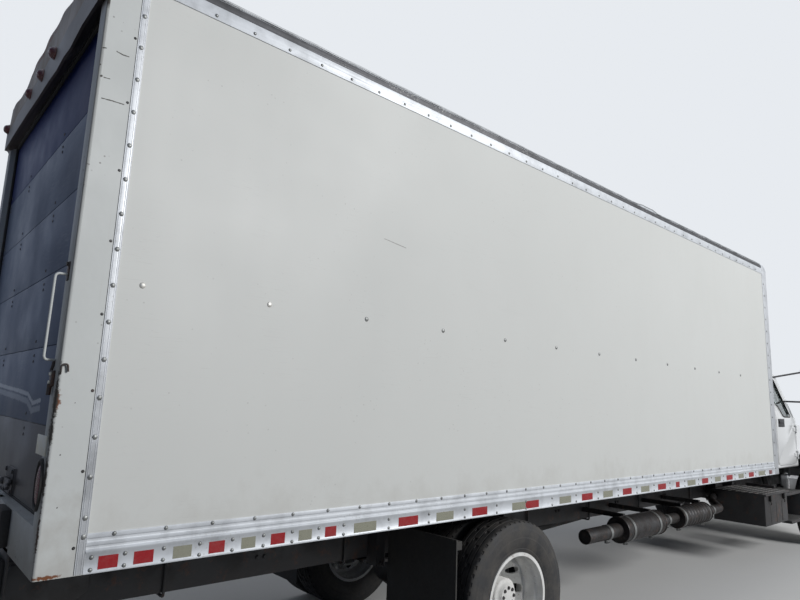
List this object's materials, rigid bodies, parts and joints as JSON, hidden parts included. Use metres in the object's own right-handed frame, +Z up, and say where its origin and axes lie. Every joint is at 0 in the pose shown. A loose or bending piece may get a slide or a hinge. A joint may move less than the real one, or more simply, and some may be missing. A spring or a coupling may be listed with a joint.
{
  "type": "box truck",
  "caption": "Conventional cab box truck: a long panel van body on a ladder frame, twin rear wheels, steered front wheels, a tilting hood and two cab doors.",
  "frame": {"origin": "middle of the truck's outline on the ground", "axes": "front of the truck faces -Y, its left side is +X, +Z up"},
  "size_m": [2.83, 11.146, 3.8318],
  "materials": {
    "white_paint": "gloss white paint",
    "wheel_paint": "white painted steel",
    "box_panel": "smooth white panel skin",
    "door_panel": "painted door panels",
    "bare_aluminium": "mill finish",
    "chassis_black": "satin black",
    "engine_iron": "cast, oily",
    "cooler_aluminium": "dull finned core",
    "exhaust_steel": "dull heated steel",
    "bumper_steel": "painted steel",
    "tyre": "worn black",
    "flap_rubber": "matte black",
    "deck_wood": "oiled planks",
    "glass": "clear",
    "clear_lamp": "clear lens",
    "red_lamp": "red lens",
    "black_plastic": "grained black",
    "seat_cloth": "grey cloth"
  },
  "bodies": {
    "chassis": {"frame_rails": "chassis_black", "crossmembers": "chassis_black", "floor_deck": "deck_wood", "floor_sills": "chassis_black", "side_panels": "box_panel", "lower_rails": "bare_aluminium", "top_rails": "bare_aluminium", "roof": "bare_aluminium", "front_wall": "box_panel", "front_posts": "bare_aluminium", "rear_frame": "white_paint", "rear_door": "door_panel", "grab_handle": "white_paint", "rear_lamps": "red_lamp", "underride_guard": "chassis_black", "mud_flaps": "flap_rubber", "leaf_springs": "chassis_black", "rear_axle": "chassis_black", "front_axle": "chassis_black", "engine": "engine_iron", "drive_shaft": "chassis_black", "radiator": "cooler_aluminium", "front_bumper": "bumper_steel", "fuel_tank": "bare_aluminium", "battery_box": "chassis_black", "cab_steps": "chassis_black", "exhaust": "exhaust_steel", "air_tanks": "chassis_black", "cab_shell": "white_paint", "cab_glass": "glass", "seats": "seat_cloth", "dashboard": "black_plastic", "steering_wheel": "black_plastic"},
    "hood": {"hood": "white_paint", "grille": "black_plastic", "headlamps": "clear_lamp"},
    "door_right": {"door_right": "white_paint", "door_glass_right": "glass", "mirror_right": "black_plastic"},
    "door_left": {"door_left": "white_paint", "door_glass_left": "glass", "mirror_left": "black_plastic"},
    "knuckle_right": {"knuckle_right": "chassis_black"},
    "knuckle_left": {"knuckle_left": "chassis_black"},
    "front_wheel_right": {"front_wheel_right": "wheel_paint", "front_tyre_right": "tyre"},
    "front_wheel_left": {"front_wheel_left": "wheel_paint", "front_tyre_left": "tyre"},
    "rear_wheels_right": {"rear_wheels_right": "wheel_paint", "rear_tyres_right": "tyre"},
    "rear_wheels_left": {"rear_wheels_left": "wheel_paint", "rear_tyres_left": "tyre"}
  },
  "joints": [
    {"name": "steer_right", "type": "hinge", "parent": "chassis", "child": "knuckle_right", "pos_m": [-0.88, -4.552, 0.505], "axis": [0, 0, 1], "range_deg": [-38, 38]},
    {"name": "steer_left", "type": "hinge", "parent": "chassis", "child": "knuckle_left", "pos_m": [0.88, -4.552, 0.505], "axis": [0, 0, 1], "range_deg": [-38, 38]},
    {"name": "front_spin_right", "type": "hinge", "parent": "knuckle_right", "child": "front_wheel_right", "pos_m": [-1.04, -4.552, 0.505], "axis": [1, 0, 0], "continuous": true},
    {"name": "front_spin_left", "type": "hinge", "parent": "knuckle_left", "child": "front_wheel_left", "pos_m": [1.04, -4.552, 0.505], "axis": [1, 0, 0], "continuous": true},
    {"name": "rear_spin_right", "type": "hinge", "parent": "chassis", "child": "rear_wheels_right", "pos_m": [-0.902, 2.584, 0.505], "axis": [1, 0, 0], "continuous": true},
    {"name": "rear_spin_left", "type": "hinge", "parent": "chassis", "child": "rear_wheels_left", "pos_m": [0.902, 2.584, 0.505], "axis": [1, 0, 0], "continuous": true},
    {"name": "door_right", "type": "hinge", "parent": "chassis", "child": "door_right", "pos_m": [-1.06, -3.888, 1.6], "axis": [0, 0, 1], "range_deg": [0, 68]},
    {"name": "door_left", "type": "hinge", "parent": "chassis", "child": "door_left", "pos_m": [1.06, -3.888, 1.6], "axis": [0, 0, -1], "range_deg": [0, 68]},
    {"name": "hood_tilt", "type": "hinge", "parent": "chassis", "child": "hood", "pos_m": [0, -5.412, 0.85], "axis": [1, 0, 0], "range_deg": [0, 62]}
  ],
  "couplings": [
    {"joint": "steer_left", "follows": "steer_right", "ratio": 1}
  ]
}
